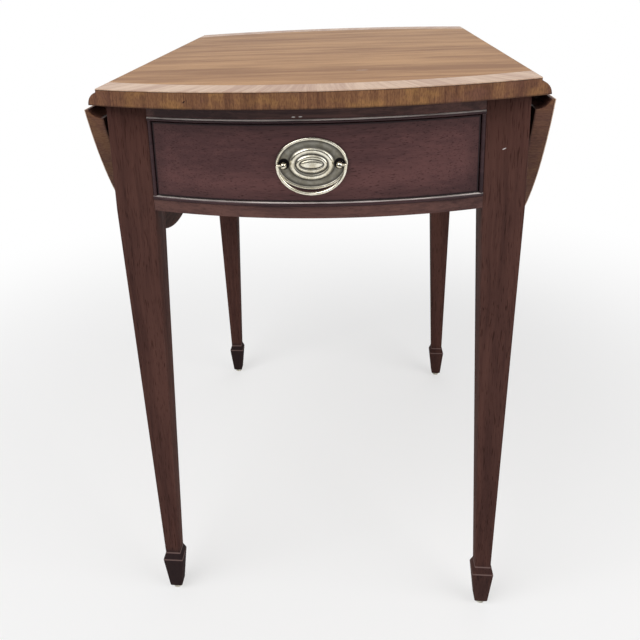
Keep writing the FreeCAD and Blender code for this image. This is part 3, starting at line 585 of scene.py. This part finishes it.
def crossband_finish(part):
    """Pale satin-like veneer with its grain across the band."""
    finish, tree, shader, place = new_finish(part + "_crossband")
    raised = turned(tree, place, *RAISED[part])
    across, along, _ = axes(tree, raised)
    round_way = round_oval(tree, across, along)
    line = put(tree, "CombineXYZ", {"X": from_axis(tree, raised), "Y": round_way, "Z": 0.3}).outputs[0]
    grain = grained(tree, line, tone(178, 141, 118), tone(216, 185, 159), figure=0.9, pores=0.2)
    arris = eased(tree, radius=0.5 * MM)
    colour = rub(tree, arris, 0.6, grain.outputs["Color"], tone(74, 44, 30))
    polish(tree, shader, colour, grain, smooth=0.4, dull=0.5, coat=0.36,
           coat_rough=0.1, bump=0.04, arris=arris)
    return finish


dress(("top_crossbands",), crossband_finish("top"))
dress(("left_leaf_crossband",), crossband_finish("left_leaf"))
dress(("right_leaf_crossband",), crossband_finish("right_leaf"))


# The edge of the oval is veneered too, with golden-brown wood whose grain stands upright,
# so its streaks and flecks run up and down the edge. It darkens towards the rule joints.

UPPER_RIM = (TOP_FACE - 2.2 * MM, TOP_FACE - 1 * MM)
LOWER_RIM = (TOP_UNDER + 2 * MM, TOP_UNDER + 0.6 * MM)
JOINT_DARKENING = (0.15, 0.25)
LEAF_DARKENING = (0.2455, 0.262)
DENT_SPOT = (-0.133, -0.360, 0.7)
DENT_REACH = (2.2 * MM, 8 * MM, 1 * MM)
DENT_LEAN = -40


def edge_finish(part):
    """Golden upright-grained edge veneer with dark flecks."""
    finish, tree, shader, place = new_finish(part + "_edge")
    raised = turned(tree, place, *RAISED[part])
    across, along, up = axes(tree, raised)
    round_way = round_oval(tree, across, along)
    fine = reckon(tree, "MULTIPLY", round_way, 2.6)
    line = put(tree, "CombineXYZ", {"X": up, "Y": fine, "Z": 0.7}).outputs[0]
    grain = grained(tree, line, tone(98, 65, 49), tone(144, 103, 71), figure=0.9, pores=0.5)
    flecks = noise(tree, stretched(tree, line, (110.0, 300.0, 1.0)), 1.0, 3.0)
    fleck_share = spread(tree, flecks, 0.56, 0.72, 0.0, 0.5)
    colour = blend(tree, fleck_share, grain.outputs["Color"], tone(72, 44, 34))
    patches = noise(tree, stretched(tree, line, (34.0, 11.0, 1.0)), 1.0, 3.0)
    colour = blend(tree, spread(tree, patches, 0.5, 0.66, 0.0, 0.55), colour, tone(160, 118, 72))
    from_middle = reckon(tree, "ABSOLUTE", across)
    near_joint = spread(tree, from_middle, *JOINT_DARKENING, 0.0, 0.25)
    red_share = reckon(tree, "MAXIMUM", near_joint, spread(tree, patches, 0.46, 0.32, 0.0, 0.6))
    colour = blend(tree, red_share, colour, tone(110, 74, 64))
    on_leaf = spread(tree, from_middle, *LEAF_DARKENING, 0.0, 0.42)
    colour = blend(tree, on_leaf, colour, tone(96, 69, 65))
    fibre_line = put(tree, "CombineXYZ", {"X": up, "Y": round_way, "Z": 0.2}).outputs[0]
    fibres = noise(tree, stretched(tree, fibre_line, (240.0, 900.0, 1.0)), 1.0, 2.0)
    colour = blend(tree, spread(tree, fibres, 0.36, 0.56, 0.36, 0.0), colour, tone(66, 43, 38))
    at_rim = reckon(tree, "MAXIMUM", spread(tree, up, *UPPER_RIM, 0.0, 0.85),
                    spread(tree, up, *LOWER_RIM, 0.0, 0.5))
    dent = knock(tree, raised, DENT_SPOT, DENT_REACH, DENT_LEAN)
    colour = blend(tree, reckon(tree, "MAXIMUM", at_rim, dent), colour, tone(50, 34, 30))
    polish(tree, shader, colour, grain, smooth=0.45, dull=0.6, coat=0.2,
           coat_rough=0.2, bump=0.12, arris=eased(tree, radius=0.6 * MM))
    return finish


dress(("top_edge_bands",), edge_finish("top"))
dress(("left_leaf_edge_band",), edge_finish("left_leaf"))
dress(("right_leaf_edge_band",), edge_finish("right_leaf"))


# Rule-joint hinges let in under the top: steel flaps with rolled knuckles on pins, held by
# countersunk screws. More screws hold the top down through the kickers.

METAL_RELIEF = 0.2 * MM


def worn_metal(name, bright, tarnished, smooth, dull, scale, metallic=1.0):
    """Metal with cloudy tarnish, fine scratches and rubbed edges."""
    finish, tree, shader, place = new_finish(name)
    clouds = noise(tree, place, scale, 5.0, 0.6)
    scratch_line = stretched(tree, place, (scale * 2, scale * 30, scale * 30))
    scratches = noise(tree, scratch_line, 1.0, 2.0)
    uneven = shared_out(tree, ((clouds, 0.6), (scratches, 0.4)))
    arris = eased(tree, radius=0.4 * MM)
    colour = blend(tree, spread(tree, clouds, 0.38, 0.62), bright, tarnished)
    relief = {"Height": scratches, "Strength": 0.08, "Distance": METAL_RELIEF,
              "Normal": arris.outputs["Normal"]}
    feed(tree, shader, {
        "Base Color": blend(tree, arris.outputs["Rubbed"], colour, bright),
        "Roughness": spread(tree, uneven, 0.35, 0.65, smooth, dull),
        "Metallic": metallic,
        "Normal": put(tree, "Bump", relief).outputs["Normal"],
    })
    return finish


hinge_steel = worn_metal("hinge_steel", tone(150, 146, 138), tone(92, 84, 74),
                         smooth=0.36, dull=0.62, scale=60.0)
screw_steel = worn_metal("screw_steel", tone(166, 160, 150), tone(104, 96, 84),
                         smooth=0.34, dull=0.55, scale=140.0)
dress(("hinge_top_plates", "hinge_pins", "left_hinge_leaf_plates", "right_hinge_leaf_plates",
       "fly_pins"), hinge_steel)
dress(("top_screws", "hinge_top_screws", "left_hinge_leaf_screws", "right_hinge_leaf_screws"),
      screw_steel)


# The oval pull plate, one on the drawer and one on the sham front: thin brass stamped into
# rings, with a rolled rim, a broad channel, an oval crown and a long boss in the middle.
# Each ring below has its half width, half height, rise and share of tarnish.

PULL_RINGS = (
    (39.0, 29.0, -1.6, 1.0), (39.0, 29.0, 0.6, 0.5), (38.7, 28.7, 1.4, 0.15), (38.0, 28.0, 1.95, 0.0),
    (37.0, 27.0, 2.05, 0.0), (36.0, 26.0, 1.75, 0.5), (35.3, 25.3, 1.05, 1.0), (34.7, 24.7, 0.75, 0.85),
    (31.6, 22.2, 0.75, 0.68), (27.4, 19.6, 0.95, 0.74), (24.7, 18.0, 1.5, 0.95), (23.4, 17.3, 2.4, 0.5),
    (22.4, 16.5, 3.1, 0.1), (21.2, 15.3, 3.5, 0.0), (20.0, 13.9, 3.55, 0.0), (19.0, 12.7, 3.2, 0.25),
    (18.2, 11.7, 2.75, 0.75), (17.6, 11.0, 2.5, 0.95), (17.1, 10.3, 2.55, 0.95), (16.5, 9.4, 3.2, 0.4),
    (15.6, 8.4, 3.9, 0.05), (14.6, 7.2, 4.15, 0.0), (13.6, 6.0, 3.95, 0.4), (12.9, 5.1, 3.45, 1.0),
    (12.4, 4.7, 3.35, 1.0), (11.8, 4.2, 3.75, 0.4), (10.4, 3.5, 4.25, 0.0), (7.6, 2.4, 4.5, 0.05),
    (3.8, 1.2, 4.55, 0.2),
)
RING_POINTS = 72
PULL_SEATS = {
    "drawer": (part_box("drawer_pull_plate")[1].y, 0),
    "back": (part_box("back_pull_plate")[0].y, 180),
}
BOSS_INSET = 0.5 * MM
HOLLOW_REACH = 5 * MM
POST_ASIDE = 0.030
POST_GRIME = (8.5 * MM, 5.5 * MM)
# A painted slot across each post head: a dark band standing for the shade in a groove, with its slope, half
# width and softening.
SLOT_SLOPE = 0.3
SLOT_EDGE = (0.6 * MM, 0.4 * MM)
HEAD_TIP = -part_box("drawer_pull_posts")[0].y
HEAD_FRONT = (HEAD_TIP - 2.0 * MM, HEAD_TIP - 1.6 * MM)


def brass_finish(name, ringed):
    """Old brass: grey-gold, rubbed bright on the raised rings, dark with patina in the stamped hollows, with
    painted shade where other parts lie close.
    """
    finish, tree, shader, place = new_finish(name)
    # Darker where other surfaces lie close: patina in the stamped hollows, and painted shade under the post
    # heads and the bail.
    patina_and_occlusion_shade = put(tree, "AmbientOcclusion", {"Distance": HOLLOW_REACH}, samples=8).outputs["AO"]
    clouds = noise(tree, place, 150.0, 5.0, 0.62)
    spots = noise(tree, place, 620.0, 3.0)
    base = blend(tree, spread(tree, clouds, 0.35, 0.65), tone(250, 245, 228), tone(218, 210, 188))
    dark = spread(tree, reckon(tree, "ADD", patina_and_occlusion_shade, reckon(tree, "MULTIPLY", spots, 0.12)), 0.9, 0.55)
    across, along, height = axes(tree, place)
    aside = reckon(tree, "SUBTRACT", reckon(tree, "ABSOLUTE", across), POST_ASIDE)
    above = reckon(tree, "SUBTRACT", height, PULL_HEIGHT)
    if ringed:
        ring = put(tree, "Attribute", attribute_name="tarnish").outputs["Fac"]
        off_post = put(tree, "CombineXYZ", {"X": aside, "Y": above}).outputs[0]
        from_post = put(tree, "VectorMath", {0: off_post}, operation="LENGTH").outputs["Value"]
        dark = reckon(tree, "MAXIMUM", dark, reckon(tree, "MULTIPLY", ring, 0.97))
        dark = reckon(tree, "MAXIMUM", dark, spread(tree, from_post, *POST_GRIME))
    else:
        # Painted shade: a dark band across the front of each post head, as the shade in a slot.
        off_slot = reckon(tree, "ADD", above, reckon(tree, "MULTIPLY", aside, SLOT_SLOPE))
        painted_slot_shade = spread(tree, reckon(tree, "ABSOLUTE", off_slot), *SLOT_EDGE)
        near_tip = spread(tree, reckon(tree, "ABSOLUTE", along), *HEAD_FRONT)
        dark = reckon(tree, "MAXIMUM", dark, reckon(tree, "MULTIPLY", painted_slot_shade, near_tip))
    uneven = reckon(tree, "ADD", reckon(tree, "MULTIPLY", clouds, 0.5), dark)
    relief = {"Height": spots, "Strength": 0.06, "Distance": METAL_RELIEF}
    feed(tree, shader, {
        "Base Color": blend(tree, dark, base, tone(30, 27, 30)),
        "Roughness": spread(tree, uneven, 0.2, 1.2, 0.18, 0.5),
        "Metallic": 1.0,
        "Normal": put(tree, "Bump", relief).outputs["Normal"],
    })
    return finish


def stand_up(piece, end):
    """Turn a pull's piece, made lying flat, up against its front."""
    seat, about = PULL_SEATS[end]
    take_up(piece)
    piece.rotation_euler = (math.radians(90), 0, math.radians(about))
    piece.location = (0, seat, PULL_HEIGHT)
    bpy.ops.object.transform_apply(location=True, rotation=True, scale=True)


deselect()
bpy.ops.mesh.primitive_circle_add(vertices=RING_POINTS, radius=1.0, fill_type="NOTHING")
plate = bpy.context.object
plate.name = "drawer_pull_stamping"
wide, high, rise, _ = PULL_RINGS[0]
bpy.ops.object.mode_set(mode="EDIT")
bpy.ops.mesh.select_all(action="SELECT")
bpy.ops.transform.resize(value=(wide * MM, high * MM, 1), center_override=(0, 0, 0))
bpy.ops.transform.translate(value=(0, 0, rise * MM))
for next_wide, next_high, next_rise, _ in PULL_RINGS[1:]:
    step = (0, 0, (next_rise - rise) * MM)
    bpy.ops.mesh.extrude_edges_move(TRANSFORM_OT_translate={"value": step})
    shares = (next_wide / wide, next_high / high, 1)
    bpy.ops.transform.resize(value=shares, center_override=(0, 0, 0))
    wide, high, rise = next_wide, next_high, next_rise
bpy.ops.mesh.edge_face_add()
bpy.ops.mesh.inset(thickness=BOSS_INSET)
bpy.ops.mesh.select_all(action="SELECT")
bpy.ops.mesh.normals_make_consistent(inside=False)
bpy.ops.object.mode_set(mode="OBJECT")
tarnish = plate.data.attributes.new("tarnish", "FLOAT", "POINT")
for number, point in enumerate(tarnish.data):
    ring_number = min(number // RING_POINTS, len(PULL_RINGS) - 1)
    point.value = PULL_RINGS[ring_number][3]
smoothing = plate.modifiers.new("smoothing", "SUBSURF")
smoothing.levels = 1
smoothing.render_levels = 1
bpy.ops.object.modifier_apply(modifier=smoothing.name)
bpy.ops.object.shade_smooth()
plate.data.materials.append(brass_finish("stamped_brass", True))
back_plate = fresh_copy(plate, "back_pull_stamping")
for piece, end, body in ((plate, "drawer", "drawer"), (back_plate, "back", "table")):
    stand_up(piece, end)
    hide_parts(end + "_pull_plate")
    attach(piece, body)


# Two posts through each plate, turned brass with a collar and a round head that is drilled
# for the bail, and nuts behind. The bail is drawn brass wire bent to hang round the plate.

dress(("drawer_pull_posts", "drawer_pull_nuts", "drawer_pull_bail", "back_pull_posts",
       "back_pull_nuts", "back_pull_bail"), brass_finish("turned_brass", False))


# Glides under the feet: domed steel studs, one to a foot. They are driven up into the end
# grain, and floors have scuffed them bright.

glide_steel = worn_metal("glide_steel", tone(236, 232, 216), tone(190, 186, 170),
                         smooth=0.25, dull=0.45, scale=260.0, metallic=0.4)
dress(("foot_glides",), glide_steel)


# The plain pale floor, which takes the shadow and fades to white away from the table, under
# soft studio light from large lamps and a pale room.

FLOOR_RADIUS = 12.0
ROOM_LIGHT = 0.38
ROOM_DIM = 0.12
LAMPS = (
    ("key_lamp", (-1.3, -1.6, 2.6), 2.0, 44),
    ("fill_lamp", (1.9, -1.2, 1.7), 1.8, 24),
    ("back_lamp", (0.4, 2.2, 2.4), 2.0, 10),
)
LAMP_AIM = Vector((0, 0, 0.4))


def mirrored_rays(tree, path):
    """Where a ray has come off a gloss or through glass."""
    return reckon(tree, "MAXIMUM", path.outputs["Is Glossy Ray"], path.outputs["Is Transmission Ray"])


deselect()
bpy.ops.mesh.primitive_circle_add(vertices=96, radius=FLOOR_RADIUS, fill_type="NGON")
floor = bpy.context.object
floor.name = "studio_floor"
floor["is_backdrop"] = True
floor_white, tree, shader, place = new_finish("floor_white")
feed(tree, shader, {"Base Color": (0.9, 0.9, 0.9, 1), "Roughness": 0.9, "Specular IOR Level": 0.0})
path = put(tree, "LightPath")
reach = from_axis(tree, place)
seen_white = reckon(tree, "MULTIPLY", path.outputs["Is Camera Ray"], spread(tree, reach, 0.5, 1.5, 0.55, 1.0))
mirrored_white = reckon(tree, "MULTIPLY", mirrored_rays(tree, path), spread(tree, reach, 0.5, 2.5))
white_share = reckon(tree, "MAXIMUM", seen_white, mirrored_white)
glow = put(tree, "Emission", {"Color": (1, 1, 1, 1), "Strength": 1.0})
mixed = put(tree, "MixShader", {0: white_share, 1: shader.outputs[0], 2: glow.outputs[0]})
feed(tree, tree.nodes["Material Output"], {"Surface": mixed.outputs[0]})
floor.data.materials.append(floor_white)

studio = bpy.data.worlds.new("studio")
bpy.context.scene.world = studio
studio.use_nodes = True
tree = studio.node_tree
path = put(tree, "LightPath")
_, backward, upward = axes(tree, put(tree, "TexCoord").outputs["Generated"])
room = reckon(tree, "MAXIMUM", spread(tree, backward, -0.2, 0.5, ROOM_DIM, 1.0),
              spread(tree, upward, 0.4, 0.85, ROOM_DIM, 1.0))
share = reckon(tree, "MULTIPLY", mirrored_rays(tree, path), reckon(tree, "SUBTRACT", room, ROOM_LIGHT))
strength = reckon(tree, "MAXIMUM", path.outputs["Is Camera Ray"], reckon(tree, "ADD", share, ROOM_LIGHT))
feed(tree, tree.nodes["Background"], {"Color": (1, 1, 1, 1), "Strength": strength})

for name, spot, size, power in LAMPS:
    lamp = bpy.data.lights.new(name, "AREA")
    lamp.size = size
    lamp.energy = power
    lamp_object = bpy.data.objects.new(name, lamp)
    bpy.context.collection.objects.link(lamp_object)
    lamp_object.location = spot
    aim = LAMP_AIM - Vector(spot)
    lamp_object.rotation_euler = aim.to_track_quat("-Z", "Y").to_euler()


# The camera stands at the drawer end, a little right of the middle and above the top. Its
# picture is shifted, so that the table lies in it as in the photograph.

view = bpy.data.cameras.new("photo_view")
view.sensor_width = 36.0
view.lens = 42.419
view.shift_x = 0.0811
view.shift_y = -0.1875
camera = bpy.data.objects.new("photo_view", view)
bpy.context.collection.objects.link(camera)
camera.location = (0.04745, -1.13639, 0.83365)
camera.rotation_euler = tuple(math.radians(angle) for angle in (72.738, 2.457, 6.238))
bpy.context.scene.camera = camera
bpy.context.scene.view_settings.view_transform = "Standard"

low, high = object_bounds()
